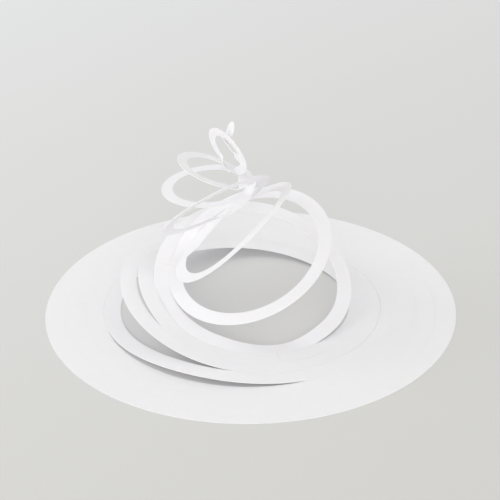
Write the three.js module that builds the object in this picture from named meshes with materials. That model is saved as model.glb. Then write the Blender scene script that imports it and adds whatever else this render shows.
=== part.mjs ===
// Paper wreath: one round sheet of white card, cut along concentric circles into rings.
// Each cut stops short of a full turn, and the uncut bridge is the hinge on which the next ring in is lifted.
// Millimetres, +Z up. The origin is the centre of the rim's underside, which lies flat on the table.
import * as THREE from 'three';

// Sheet
const CARD_THICKNESS = 0.4;
const OUTER_RING_WIDTH = 14.2;
const INNER_RING_WIDTH = 5.5;
const DISC_RADIUS = 7.1;
const CENTRE_HOLE_RADIUS = 0.8;

// Cuts
const CUT_WIDTH = 0.3;
const BRIDGE_WIDTH = 5;
const BEND_SPREAD = 35;

// Facets: a ring wider than each radius has that many sides
const SIDES = [
  { above: 45, sides: 96 },
  { above: 15, sides: 48 },
  { above: 0, sides: 24 },
];

// Lifted rings, from the rim inwards, one row for each cut. Degrees, and millimetres for the bow.
// bridge: where the uncut paper is, counted from +X towards +Y
// lift: how far the ring is folded up about the bridge, so that its far side rises
// twist: how far it leans sideways about the line from the bridge to its centre
// bow: how far its two flanks stand above its own plane, halfway between the bridge and the far side
// spread: the arc on either side of the bridge over which the ring turns, where it is wider than BEND_SPREAD
// swells: arcs that have sprung up by themselves, or sag where the height is negative. Each has the azimuth and
// the height of its crest and its reach to either side.
const RINGS = [
  { bridge: 250, lift: 0, twist: 0, bow: 0 },
  { bridge: 60, lift: 0, twist: 0, bow: 0 },
  {
    bridge: 304, lift: 0, twist: 0, bow: 0,
    swells: [{ crest: 244, height: 5, reach: 56 }],
  },
  {
    bridge: 28, lift: 2.5, twist: 0, bow: -2, spread: 170,
    swells: [{ crest: 164, height: 18, reach: 104 }, { crest: 290, height: -1, reach: 42 }],
  },
  {
    bridge: 357, lift: 6, twist: 1, bow: -3.5, spread: 80,
    swells: [{ crest: 180, height: 11.5, reach: 62 }, { crest: 274, height: -0.9, reach: 42 }],
  },
  { bridge: 284, lift: 18.5, twist: 3, bow: -5 },
  { bridge: 176, lift: 26, twist: -3.5, bow: 0 },
  { bridge: 145, lift: 32, twist: 4, bow: -4 },
  { bridge: 97, lift: 28, twist: 2.5, bow: 0 },
  { bridge: 23, lift: 25, twist: 35, bow: 0 },
  { bridge: 6, lift: 46.5, twist: 6.5, bow: 0 },
  { bridge: 68, lift: 51.5, twist: -4, bow: 0 },
  { bridge: 343, lift: 18, twist: 24, bow: 0 },
  { bridge: 228, lift: 120.5, twist: -3.5, bow: 0 },
];

const FULL_TURN = 2 * Math.PI;

// Cut radii from the rim to the centre disc: ring widths step down evenly from the outer to the inner one.
function cutRadii() {
  const count = RINGS.length;
  const radii = [DISC_RADIUS];
  for (let ring = count - 1; ring >= 0; ring -= 1) {
    const width = THREE.MathUtils.lerp(OUTER_RING_WIDTH, INNER_RING_WIDTH, ring / (count - 1));
    radii.unshift(radii[0] + width);
  }
  return radii;
}

function sidesFor(radius) {
  return SIDES.find((step) => radius > step.above).sides;
}

// Angle between two azimuths, from 0 to half a turn.
function azimuthGap(a, b) {
  return Math.abs(THREE.MathUtils.euclideanModulo(a - b + Math.PI, FULL_TURN) - Math.PI);
}

// How far a swell lifts its ring at an azimuth: full height at the crest, none beyond its reach.
function swellRise(swell, azimuth) {
  const gap = azimuthGap(azimuth, THREE.MathUtils.degToRad(swell.crest));
  return swell.height * (1 - THREE.MathUtils.smoothstep(gap, 0, THREE.MathUtils.degToRad(swell.reach)));
}

// The pose of a ring at an azimuth: beside the bridge it continues the ring outside it,
// and further round it turns to its own lift and twist.
function hingedPose(fold, radius, outerPose, isDisc) {
  const bridge = THREE.MathUtils.degToRad(fold.bridge);
  const radial = new THREE.Vector3(Math.cos(bridge), Math.sin(bridge), 0);
  const tangent = new THREE.Vector3(-Math.sin(bridge), Math.cos(bridge), 0);
  const turn = tangent.multiplyScalar(fold.lift).addScaledVector(radial, fold.twist);
  const angle = THREE.MathUtils.degToRad(turn.length());
  const axis = turn.normalize();
  const pivot = radial.clone().multiplyScalar(radius);
  const outer = outerPose(bridge);
  const halfBridge = BRIDGE_WIDTH / 2 / radius;
  const spread = THREE.MathUtils.degToRad(fold.spread ?? BEND_SPREAD);
  const swells = fold.swells ?? [];
  return (azimuth) => {
    const gap = azimuthGap(azimuth, bridge);
    const share = isDisc ? 1 : THREE.MathUtils.smoothstep(gap, halfBridge, halfBridge + spread);
    const bowed = fold.bow * share * Math.sin(gap) ** 2;
    const rise = swells.reduce((height, swell) => height + swellRise(swell, azimuth), bowed);
    return outer
      .clone()
      .multiply(new THREE.Matrix4().makeTranslation(pivot))
      .multiply(new THREE.Matrix4().makeRotationAxis(axis, angle * share))
      .multiply(new THREE.Matrix4().makeTranslation(pivot.clone().negate()))
      .multiply(new THREE.Matrix4().makeTranslation(0, 0, rise));
  };
}

// Rings of the sheet: radii of both edges, sides round, and a pose for each azimuth.
function layOutRings() {
  const radii = cutRadii();
  const flat = new THREE.Matrix4().makeTranslation(0, 0, CARD_THICKNESS / 2);
  let pose = () => flat;
  return radii.map((radius, index) => {
    const isDisc = index === RINGS.length;
    if (index > 0) {
      pose = hingedPose(RINGS[index - 1], radius, pose, isDisc);
    }
    return {
      cutRadius: radius,
      outer: index === 0 ? radius : radius - CUT_WIDTH / 2,
      inner: isDisc ? CENTRE_HOLE_RADIUS : radii[index + 1] + CUT_WIDTH / 2,
      sides: sidesFor(radius),
      pose,
    };
  });
}

// One closed skin over both faces and every cut edge of the sheet.
class Skin {
  constructor() {
    this.positions = [];
    this.triangles = [];
  }

  vertex(point) {
    this.positions.push(point.x, point.y, point.z);
    return this.positions.length / 3 - 1;
  }

  quad(a, b, c, d) {
    this.triangles.push(a, b, c, a, c, d);
  }

  geometry() {
    const geometry = new THREE.BufferGeometry();
    geometry.setAttribute('position', new THREE.Float32BufferAttribute(this.positions, 3));
    geometry.setIndex(this.triangles);
    geometry.computeVertexNormals();
    return geometry;
  }
}

// Vertices of a ring, for each side: upper and lower corner of its outer and of its inner edge.
function addRingVertices(skin, ring) {
  const columns = [];
  for (let side = 0; side < ring.sides; side += 1) {
    const azimuth = (side / ring.sides) * FULL_TURN;
    const pose = ring.pose(azimuth);
    const corner = (radius, height) => {
      const point = new THREE.Vector3(radius * Math.cos(azimuth), radius * Math.sin(azimuth), height);
      return skin.vertex(point.applyMatrix4(pose));
    };
    columns.push({
      outerTop: corner(ring.outer, CARD_THICKNESS / 2),
      outerBottom: corner(ring.outer, -CARD_THICKNESS / 2),
      innerTop: corner(ring.inner, CARD_THICKNESS / 2),
      innerBottom: corner(ring.inner, -CARD_THICKNESS / 2),
    });
  }
  return columns;
}

// The sides that a bridge covers on a ring, as the first side and how many.
function bridgeRun(fold, ring) {
  const step = FULL_TURN / ring.sides;
  const count = Math.max(1, Math.round(BRIDGE_WIDTH / (ring.cutRadius * step)));
  const first = Math.round(THREE.MathUtils.degToRad(fold.bridge) / step - count / 2);
  return { first: THREE.MathUtils.euclideanModulo(first, ring.sides), count };
}

function isInRun(side, run, sides) {
  return THREE.MathUtils.euclideanModulo(side - run.first, sides) < run.count;
}

// Both faces of a ring, and the walls of its edges except where a bridge joins it to its neighbour.
function addRingFaces(skin, columns, outerRun, innerRun) {
  const sides = columns.length;
  columns.forEach((here, side) => {
    const next = columns[(side + 1) % sides];
    skin.quad(here.innerTop, here.outerTop, next.outerTop, next.innerTop);
    skin.quad(here.innerBottom, next.innerBottom, next.outerBottom, here.outerBottom);
    if (!outerRun || !isInRun(side, outerRun, sides)) {
      skin.quad(here.outerTop, here.outerBottom, next.outerBottom, next.outerTop);
    }
    if (!innerRun || !isInRun(side, innerRun, sides)) {
      skin.quad(here.innerTop, next.innerTop, next.innerBottom, here.innerBottom);
    }
  });
}

// The uncut paper between two rings. The outer ring may have several sides for each side of the inner one.
function addBridge(skin, outerColumns, innerColumns, run) {
  const ratio = outerColumns.length / innerColumns.length;
  const outerAt = (side) => outerColumns[side % outerColumns.length];
  const innerAt = (side) => innerColumns[side % innerColumns.length];
  for (let side = run.first; side < run.first + run.count; side += 1) {
    const here = innerAt(side);
    const next = innerAt(side + 1);
    for (let part = 0; part < ratio; part += 1) {
      const from = outerAt(side * ratio + part);
      const to = outerAt(side * ratio + part + 1);
      skin.triangles.push(here.outerTop, from.innerTop, to.innerTop);
      skin.triangles.push(here.outerBottom, to.innerBottom, from.innerBottom);
    }
    const last = outerAt((side + 1) * ratio);
    skin.triangles.push(here.outerTop, last.innerTop, next.outerTop);
    skin.triangles.push(here.outerBottom, next.outerBottom, last.innerBottom);
  }
  const end = run.first + run.count;
  const startOuter = outerAt(run.first * ratio);
  const startInner = innerAt(run.first);
  const endOuter = outerAt(end * ratio);
  const endInner = innerAt(end);
  skin.quad(startInner.outerTop, startInner.outerBottom, startOuter.innerBottom, startOuter.innerTop);
  skin.quad(endOuter.innerTop, endOuter.innerBottom, endInner.outerBottom, endInner.outerTop);
}

function wreathGeometry() {
  const rings = layOutRings();
  const skin = new Skin();
  const columns = rings.map((ring) => addRingVertices(skin, ring));
  const runs = RINGS.map((fold, index) => bridgeRun(fold, rings[index + 1]));
  rings.forEach((ring, index) => {
    const outerRun = runs[index - 1];
    const below = runs[index];
    let innerRun;
    if (below) {
      const ratio = ring.sides / rings[index + 1].sides;
      innerRun = { first: below.first * ratio, count: below.count * ratio };
      addBridge(skin, columns[index], columns[index + 1], below);
    }
    addRingFaces(skin, columns[index], outerRun, innerRun);
  });
  return skin.geometry();
}

const card = new THREE.MeshStandardMaterial({ color: 0xf3f3f1, roughness: 0.85, metalness: 0 });
const sheet = new THREE.Mesh(wreathGeometry(), card);
sheet.name = 'paper_wreath';

const wreath = new THREE.Group();
wreath.add(sheet);

export default wreath;
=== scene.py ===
# %% [markdown]
# # A paper wreath from one round sheet
# The real wreath is a single disc of white card. A knife cuts it along circles, and every cut stops just
# short of a full turn, so each ring still hangs on the next one by a small bridge of paper. Pulled up by
# its middle, the flat disc opens into a leaning stack of tilted loops.
#
# This lesson makes it the same way: cut a flat sheet first, then lift the rings, then give the sheet its
# thickness. The measured solid comes first, because everything here shares its place and size.

# %% Load the measured part
import math
from collections import namedtuple

import bmesh
import bpy
from mathutils import Matrix, Vector


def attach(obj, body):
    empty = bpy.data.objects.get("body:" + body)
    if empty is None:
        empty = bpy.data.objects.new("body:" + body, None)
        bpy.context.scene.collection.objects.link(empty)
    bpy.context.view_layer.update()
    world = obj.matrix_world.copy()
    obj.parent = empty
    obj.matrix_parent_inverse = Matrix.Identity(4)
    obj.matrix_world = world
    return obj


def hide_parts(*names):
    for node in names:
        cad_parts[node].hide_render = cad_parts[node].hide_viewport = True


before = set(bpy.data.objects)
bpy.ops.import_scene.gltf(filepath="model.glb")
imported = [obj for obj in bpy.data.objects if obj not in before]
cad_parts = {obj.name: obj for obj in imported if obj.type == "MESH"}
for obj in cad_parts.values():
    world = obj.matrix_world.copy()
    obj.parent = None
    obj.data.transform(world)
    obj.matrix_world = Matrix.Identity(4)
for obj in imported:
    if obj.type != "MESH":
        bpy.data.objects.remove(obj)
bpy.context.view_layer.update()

# %% [markdown]
# ## The sheet's sizes
# All lengths are in metres. A knife cut has almost no width: here it is a very fine slot, just enough to
# draw a hairline where two rings still lie level, and the fourth cut gapes a little more. The disc in the
# centre is trimmed slightly, because its edge is rounder than the measured one and would reach higher.

# %% Driving sizes
MM = 0.001
CARD_THICKNESS = 0.4 * MM
OUTER_RING_WIDTH = 14.2 * MM
INNER_RING_WIDTH = 5.5 * MM
DISC_RADIUS = 7.1 * MM
CENTRE_HOLE_RADIUS = 0.8 * MM
CUT_WIDTH = 0.02 * MM
GAPING_CUTS = {4: 0.1 * MM}
DISC_TRIM = 0.2 * MM
BRIDGE_WIDTH = 5 * MM
BEND_SPREAD = 35
COLUMNS = 720
print("ring widths:", round(OUTER_RING_WIDTH / MM, 1), "to", round(INNER_RING_WIDTH / MM, 1), "mm")

# %% [markdown]
# ## The folds
# The rim and the three rings inside it are not folded, and every other ring is folded up at its bridge.
# The bridges lie all round the sheet, so the loops lean to different sides. Two angles turn a ring, a bow
# bends it out of its own plane, and two wide rings bend over a longer arc than the others. The few numbers
# of a ring stay together in one row, because they are chosen together.

# %% Bridges and turns, one row for each cut from the rim inwards
# Bridge azimuth, lift and twist in degrees, bow in millimetres, and the arc of the bend in degrees.
Fold = namedtuple("Fold", "bridge lift twist bow spread", defaults=[0, 0, 0, BEND_SPREAD])
FOLDS = [
    Fold(250),
    Fold(60),
    Fold(304),
    Fold(28, 2.5, 0, -2, spread=170),
    Fold(357, 6, 1, -3.5, spread=80),
    Fold(284, 18.5, 3, -5),
    Fold(176, 26, -3.5),
    Fold(145, 32, 4, -4),
    Fold(97, 28, 2.5),
    Fold(23, 25, 35),
    Fold(6, 46.5, 6.5),
    Fold(68, 51.5, -4),
    Fold(343, 18, 24),
    Fold(228, 120.5, -3.5),
]
print("rings:", len(FOLDS), "and a centre disc")

# %% [markdown]
# ## The cuts
# The ring widths step down evenly from the rim to the middle, so every cut's radius follows from the disc
# in the centre and the widths around it, and only the two end widths have to be known.


# %% Radii of the cuts
def cut_radii():
    """Radii of the rim and of every cut, from the outside in."""
    last = len(FOLDS) - 1
    radii = [DISC_RADIUS]
    for ring in range(last, -1, -1):
        share = ring / last
        radii.insert(0, radii[0] + OUTER_RING_WIDTH * (1 - share) + INNER_RING_WIDTH * share)
    return radii


def cut_strip(number):
    """Outer and inner radius of the strip that a cut takes away."""
    half = GAPING_CUTS.get(number, CUT_WIDTH) / 2
    trim = DISC_TRIM if number == len(FOLDS) else 0
    return CUTS[number] + half, CUTS[number] - half - trim


CUTS = cut_radii()
STRIPS = [cut_strip(number) for number in range(1, len(CUTS))]
print("rim radius:", round(CUTS[0] / MM, 1), "mm, cuts:", len(STRIPS))

# %% [markdown]
# ## Drawing the flat sheet
# One circle is the rim. Extruding its edge and scaling it inwards adds a ring of faces, and the next,
# much smaller step adds the strip that the knife takes away. Repeating the two gives every ring and every
# cut of the sheet with one row of matching columns, which makes the later lifting simple. Drawing each
# ring as an object of its own would be easier to see, but the sheet would then be fifteen pieces, and the
# real one is one.

# %% Rings and cut strips
bpy.ops.object.select_all(action="DESELECT")
bpy.ops.mesh.primitive_circle_add(vertices=COLUMNS, radius=CUTS[0], fill_type="NOTHING")
card = bpy.context.object
card.name = "cut_card"

edge_radii = [CUTS[0]]
for strip in STRIPS:
    edge_radii += strip
edge_radii.append(CENTRE_HOLE_RADIUS)

bpy.ops.object.mode_set(mode="EDIT")
bpy.ops.mesh.select_mode(type="EDGE")
bpy.ops.mesh.select_all(action="SELECT")
for wide, narrow in zip(edge_radii, edge_radii[1:]):
    bpy.ops.mesh.extrude_edges_move()
    shrink = narrow / wide
    bpy.ops.transform.resize(value=(shrink, shrink, 1), center_override=(0, 0, 0))
print("flat sheet:", len(edge_radii) - 1, "rows of", COLUMNS, "faces")

# %% [markdown]
# ## Cutting
# A face belongs to a cut when its centre lies in one of the thin strips. Those faces are selected by
# their place and deleted, except across the bridge, where the knife was lifted. A Boolean with fourteen
# thin tubes would cut the sheet too, but it would leave ragged columns beside every cut.


# %% Knife cuts with a bridge each
def azimuth_gap(a, b):
    """Angle between two azimuths, from 0 to half a turn."""
    return abs((a - b + math.pi) % math.tau - math.pi)


def is_cut_away(centre):
    """True for a face in a cut's strip and off its bridge."""
    radius = centre.to_2d().length
    azimuth = math.atan2(centre.y, centre.x)
    for (outside, inside), fold in zip(STRIPS, FOLDS):
        if inside < radius < outside:
            return azimuth_gap(azimuth, math.radians(fold.bridge)) * radius > BRIDGE_WIDTH / 2
    return False


bpy.ops.mesh.select_mode(type="FACE")
bpy.ops.mesh.select_all(action="DESELECT")
sheet = bmesh.from_edit_mesh(card.data)
for face in sheet.faces:
    face.select = is_cut_away(face.calc_center_median())
removed = sum(face.select for face in sheet.faces)
bmesh.update_edit_mesh(card.data)
bpy.ops.mesh.delete(type="FACE")
bpy.ops.mesh.select_all(action="SELECT")
bpy.ops.mesh.normals_make_consistent(inside=False)
bpy.ops.object.mode_set(mode="OBJECT")
print("faces cut away:", removed)

# %% [markdown]
# ## A map of the flat sheet
# The grain of the card was there before the knife, so it has to run on from ring to ring. The flat places
# of the corners go into a UV map now, while the sheet is still flat, and the card's finish reads that
# map. The map's square is a little wider than the sheet.

# %% Flat UV map
FLAT_SPAN = 300 * MM
flat_map = card.data.uv_layers.new(name="flat_sheet")
for loop in card.data.loops:
    place = card.data.vertices[loop.vertex_index].co
    flat_map.data[loop.index].uv = (place.x / FLAT_SPAN + 0.5, place.y / FLAT_SPAN + 0.5)
print("flat map:", len(flat_map.data), "corners")

# %% [markdown]
# ## Swells
# Three of the wide rings near the rim have sprung up over an arc of their own, and the cut gapes there.
# Two of them sag a little at the front, where they lie level with the ring outside them again. A smooth
# step from the crest to the end of its reach gives such an arc without a kink at either end.

# %% Arcs that rise or sag
# Crest azimuth in degrees, height in millimetres, and reach to either side in degrees, by the number of
# the cut outside the ring.
Swell = namedtuple("Swell", "crest height reach")
SWELLS = {
    3: [Swell(244, 5, 56)],
    4: [Swell(164, 18, 104), Swell(290, -1, 42)],
    5: [Swell(180, 11.5, 62), Swell(274, -0.9, 42)],
}


def smooth_step(value):
    """Eases from 0 to 1 and stays there."""
    value = min(max(value, 0.0), 1.0)
    return value * value * (3 - 2 * value)


def swell_rise(swell, azimuth):
    """How far a swell lifts its ring: full height at the crest, none beyond its reach."""
    gap = azimuth_gap(azimuth, math.radians(swell.crest))
    return swell.height * MM * (1 - smooth_step(gap / math.radians(swell.reach)))


print("rings with swells:", len(SWELLS))

# %% [markdown]
# ## Lifting the rings
# Beside its bridge a ring still continues the one outside it. Further round it turns away, about the line
# across the bridge (its lift) and about the line from the bridge to the centre (its twist), and the turn
# grows smoothly over a short arc, because card bends and doesn't crease here. Every ring inside goes
# along with it, and the disc turns as one stiff piece. A rotate operator would turn each ring as a plate
# with a sharp hinge, so the corners are moved by a rule instead.


# %% Where each ring goes
def hinged_pose(fold, swells, radius, outer_pose, stiff):
    """The pose of a ring as a function of azimuth, from the pose of the ring outside it."""
    bridge = math.radians(fold.bridge)
    radial = Vector((math.cos(bridge), math.sin(bridge), 0))
    tangent = Vector((-math.sin(bridge), math.cos(bridge), 0))
    turn = tangent * math.radians(fold.lift) + radial * math.radians(fold.twist)
    axis = turn.normalized()
    pivot = Matrix.Translation(radial * radius)
    start = outer_pose(bridge) @ pivot
    half_bridge = BRIDGE_WIDTH / 2 / radius

    def pose(azimuth):
        gap = azimuth_gap(azimuth, bridge)
        share = 1.0 if stiff else smooth_step((gap - half_bridge) / math.radians(fold.spread))
        rise = fold.bow * MM * share * math.sin(gap) ** 2
        rise += sum(swell_rise(swell, azimuth) for swell in swells)
        turned = start @ Matrix.Rotation(turn.length * share, 4, axis) @ pivot.inverted()
        return turned @ Matrix.Translation((0, 0, rise))

    return pose


poses = [lambda azimuth: Matrix.Translation((0, 0, CARD_THICKNESS / 2))]
for number, fold in enumerate(FOLDS, start=1):
    swells = SWELLS.get(number, [])
    poses.append(hinged_pose(fold, swells, CUTS[number], poses[-1], stiff=number == len(FOLDS)))
print("poses:", len(poses))

# %% Move every corner of the sheet
for vertex in card.data.vertices:
    radius = vertex.co.to_2d().length
    ring = sum(radius < cut for cut in CUTS[1:])
    vertex.co = poses[ring](math.atan2(vertex.co.y, vertex.co.x)) @ vertex.co
card.data.update()
heights = [vertex.co.z for vertex in card.data.vertices]
print("lifted from", round(min(heights) / MM, 2), "to", round(max(heights) / MM, 2), "mm")

# %% [markdown]
# ## Thickness
# Solidify turns the skin into card. It grows by half to each side, because the rule above placed the
# middle of the sheet, and its rim faces become the cut edges with a finish of their own. Extruding the
# faces along their normals would come close, but the cut edges would then share the finish of the faces.

# %% Give the sheet its thickness
SHARP_ANGLE = math.radians(35)
bpy.ops.object.select_all(action="DESELECT")
card.select_set(True)
bpy.context.view_layer.objects.active = card
thickness = card.modifiers.new("card", "SOLIDIFY")
thickness.thickness = CARD_THICKNESS
thickness.offset = 0
thickness.use_quality_normals = True
thickness.material_offset_rim = 1
card.data.materials.append(None)
card.data.materials.append(None)
bpy.ops.object.modifier_apply(modifier=thickness.name)
bpy.ops.object.shade_smooth_by_angle(angle=SHARP_ANGLE)
print("card:", len(card.data.polygons), "faces")

# %% [markdown]
# ## Shader arithmetic
# A wire stands for one output of a shader node. Adding or multiplying wires adds Math nodes, so a finish
# reads as a formula. Setting every link by itself gives the same tree, but a script of links is hard to
# read.


# %% A socket that calculates
class Wire:
    """One output socket of a node tree."""

    def __init__(self, tree, socket=None):
        self.tree = tree
        self.socket = socket

    def node(self, kind, settings=None, inputs=None, output=0):
        """Adds a node, applies its settings, then its values and links, and returns one of its outputs."""
        made = self.tree.nodes.new(kind)
        for name, value in (settings or {}).items():
            setattr(made, name, value)
        for name, value in (inputs or {}).items():
            if isinstance(value, Wire):
                self.tree.links.new(value.socket, made.inputs[name])
            else:
                made.inputs[name].default_value = value
        return Wire(self.tree, made.outputs[output])

    def math(self, operation, other):
        return self.node("ShaderNodeMath", {"operation": operation}, {0: self, 1: other})

    def __add__(self, other):
        return self.math("ADD", other)

    def __mul__(self, other):
        return self.math("MULTIPLY", other)

    __radd__ = __add__
    __rmul__ = __mul__


print("wires can be added and multiplied")


# %% What every finish needs
def new_finish(name):
    """An empty node material, its first wire and its surface socket."""
    material = bpy.data.materials.new(name)
    material.use_nodes = True
    material.node_tree.nodes.clear()
    output = material.node_tree.nodes.new("ShaderNodeOutputMaterial")
    return material, Wire(material.node_tree), output.inputs["Surface"]


def noise(place, scale, detail):
    """Soft random spots, between 0 and 1."""
    return place.node("ShaderNodeTexNoise", inputs={"Vector": place, "Scale": scale, "Detail": detail})


def blend(factor, low, high):
    """A colour between two others."""
    inputs = {"Factor": factor, "A": (*low, 1), "B": (*high, 1)}
    return factor.node("ShaderNodeMix", {"data_type": "RGBA"}, inputs, output=2)


def put_on(surface, colour, inputs):
    """Ends a finish with a shader of this colour and these other inputs."""
    shader = colour.node("ShaderNodeBsdfPrincipled", inputs={"Base Color": colour, **inputs})
    colour.tree.links.new(shader.socket, surface)


print("helpers for finishes: new_finish, noise, blend, put_on")

# %% [markdown]
# ## White card
# Uncoated card is not one flat white: pulp clouds it faintly, fibres lie in it, and its surface has a
# fine tooth that takes away any shine. A single colour would look like plastic, so three layers of noise
# are mixed. All three read the flat map and run on across the cuts. Some light goes through the card, a
# little more of the red than of the blue, and softens the shade on the undersides of the rings.

# %% Faces of the card
CLOUD_SCALE = 60
FIBRE_SCALE = (300, 1800, 1)
TOOTH_SCALE = 1200
TOOTH_DEPTH = 0.03 * MM
PULP_GREY = (0.885, 0.878, 0.932)
PULP_WHITE = (0.938, 0.931, 0.98)
LIGHT_THROUGH = {
    "Subsurface Weight": 1.0,
    "Subsurface Radius": (1, 0.97, 0.93),
    "Subsurface Scale": 0.2 * MM,
}
card_face, wire, surface = new_finish("white_card")
flat = wire.node("ShaderNodeUVMap", {"uv_map": "flat_sheet"})
clouds = noise(flat, CLOUD_SCALE, detail=4)
stretched = wire.node("ShaderNodeMapping", inputs={"Vector": flat, "Scale": FIBRE_SCALE})
fibres = noise(stretched, scale=1, detail=3)
tooth = noise(flat, TOOTH_SCALE, detail=3)
relief = wire.node(
    "ShaderNodeBump",
    inputs={"Height": tooth * 0.6 + fibres * 0.4, "Strength": 0.25, "Distance": TOOTH_DEPTH},
)
colour = blend(clouds * 0.5 + fibres * 0.3 + tooth * 0.2, PULP_GREY, PULP_WHITE)
look = {"Roughness": tooth * 0.12 + 0.78, "Normal": relief, "Specular IOR Level": 0.25}
put_on(surface, colour, {**look, **LIGHT_THROUGH})
card.data.materials[0] = card_face
print("finish:", card_face.name)

# %% [markdown]
# ## Cut edges
# The knife leaves a narrow edge, a little greyer and rougher than the faces, where the fibres are torn.
# The flat map has no room for an edge that stands upright, so its fine noise reads the place in space.
# Solidify has already given these faces the second slot, and nothing has to be picked by hand.

# %% Cut edges of the card
FRAY_SCALE = 4000
FRAYED_GREY = (0.84, 0.84, 0.85)
FRAYED_WHITE = (0.93, 0.93, 0.93)
card_edge, wire, surface = new_finish("cut_edge")
place = wire.node("ShaderNodeTexCoord", output="Object")
frayed = noise(place, FRAY_SCALE, detail=2)
colour = blend(frayed, FRAYED_GREY, FRAYED_WHITE)
put_on(surface, colour, {"Roughness": frayed * 0.1 + 0.85, "Specular IOR Level": 0.2, **LIGHT_THROUGH})
card.data.materials[1] = card_edge
print("finish:", card_edge.name)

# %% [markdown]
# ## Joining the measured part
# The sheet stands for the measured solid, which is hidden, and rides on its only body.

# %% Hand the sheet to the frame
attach(card, "root")
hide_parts("paper_wreath")
print("piece:", card.name)

# %% [markdown]
# ## Table
# A plain pale table, a little darker and warmer than the card, so that the card's edge shows all round.
# Its colour holds painted light: it is lightest and coolest towards the far left, the side of the window,
# and darker and warmer away from it as painted shade, with a faint random speckle in its tone. A plane is
# enough, as only its top is ever seen, and the painted light is a distance along one direction, which
# stays in its place when the view turns.

# %% Pale table
TABLE_SIZE = 8
TOWARDS_PAINTED_LIGHT = (-0.35, 0.81, 0)
PAINTED_LIGHT_PER_METRE = 0.83
PAINTED_LIGHT_AT_WREATH = 0.23
SPECKLE_SCALE = 900
SPECKLE_SHARE = 0.2
# The two ends of the painted light: the table in painted shade and in painted window light.
TABLE_IN_PAINTED_SHADE = (0.672, 0.667, 0.638)
TABLE_IN_PAINTED_LIGHT = (0.855, 0.865, 0.88)
bpy.ops.object.select_all(action="DESELECT")
bpy.ops.mesh.primitive_plane_add(size=TABLE_SIZE)
table = bpy.context.object
table.name = "table"
table_face, wire, surface = new_finish("pale_table")
place = wire.node("ShaderNodeTexCoord", output="Object")
speckle = noise(place, SPECKLE_SCALE, detail=3)
painted_light_distance = wire.node(
    "ShaderNodeVectorMath",
    {"operation": "DOT_PRODUCT"},
    {0: place, 1: TOWARDS_PAINTED_LIGHT},
    output="Value",
)
# Painted light: lighter and cooler towards the window side, darker and warmer away from it, plus a real
# random speckle.
painted_light_and_speckle = painted_light_distance * PAINTED_LIGHT_PER_METRE + speckle * SPECKLE_SHARE + PAINTED_LIGHT_AT_WREATH
colour = blend(painted_light_and_speckle, TABLE_IN_PAINTED_SHADE, TABLE_IN_PAINTED_LIGHT)
put_on(surface, colour, {"Roughness": 0.8, "Specular IOR Level": 0.2})
table.data.materials.append(table_face)
print("stage:", table.name)

# %% [markdown]
# ## Light
# Daylight comes softly through a window on the left, a pale wall in front throws some of it back under
# the rings, and a bright room fills the rest. Wide area lamps do this. A sun would draw hard shadows of
# every ring.


# %% Window, wall and room
def soft_lamp(name, place, target, size, power, colour):
    """A square area lamp at a place, turned to a target."""
    lamp = bpy.data.lights.new(name, "AREA")
    lamp.shape = "SQUARE"
    lamp.size = size
    lamp.energy = power
    lamp.color = colour
    holder = bpy.data.objects.new(name, lamp)
    holder.location = place
    holder.rotation_euler = (Vector(target) - Vector(place)).to_track_quat("-Z", "Y").to_euler()
    bpy.context.collection.objects.link(holder)


LIT_POINT = (0, 0, 0.05)
COOL_LIGHT = (0.97, 0.985, 1.0)
WARM_LIGHT = (1.0, 0.995, 0.985)
ROOM_STRENGTH = 0.765
WINDOW_PLACE = (-2.2, 0.2, 1.5)
WALL_PLACE = (-0.4, -4.5, 1.5)
soft_lamp("window", WINDOW_PLACE, LIT_POINT, size=1.6, power=14, colour=COOL_LIGHT)
soft_lamp("wall", WALL_PLACE, LIT_POINT, size=3.0, power=65, colour=WARM_LIGHT)
room = bpy.data.worlds.new("bright_room")
bpy.context.scene.world = room
room.use_nodes = True
background = room.node_tree.nodes["Background"]
background.inputs["Color"].default_value = (*WARM_LIGHT, 1)
background.inputs["Strength"].default_value = ROOM_STRENGTH
bpy.context.scene.view_settings.view_transform = "Standard"
print("lit by a window, a pale wall and a bright room")

# %% [markdown]
# ## Camera
# The view looks down on the wreath from about a metre away, through a long lens, and is turned by a hair.
# The camera is tilted up a little from the wreath's middle, which leaves room above the stack.

# %% Camera
VIEW_DISTANCE = 1.0035
VIEW_ELEVATION = math.radians(30.97)
VIEW_RAISED = math.radians(2.2)
VIEW_ROLL = math.radians(-0.7)
SENSOR_WIDTH_MM = 36
LENS_MM = 101.4
camera = bpy.data.objects.new("camera", bpy.data.cameras.new("camera"))
camera.data.sensor_width = SENSOR_WIDTH_MM
camera.data.lens = LENS_MM
tilt = math.pi / 2 - VIEW_ELEVATION + VIEW_RAISED
camera.location = (
    0,
    -VIEW_DISTANCE * math.cos(VIEW_ELEVATION),
    VIEW_DISTANCE * math.sin(VIEW_ELEVATION),
)
camera.rotation_euler = (Matrix.Rotation(tilt, 3, "X") @ Matrix.Rotation(VIEW_ROLL, 3, "Z")).to_euler()
bpy.context.collection.objects.link(camera)
bpy.context.scene.camera = camera
print("camera at", [round(value, 3) for value in camera.location])
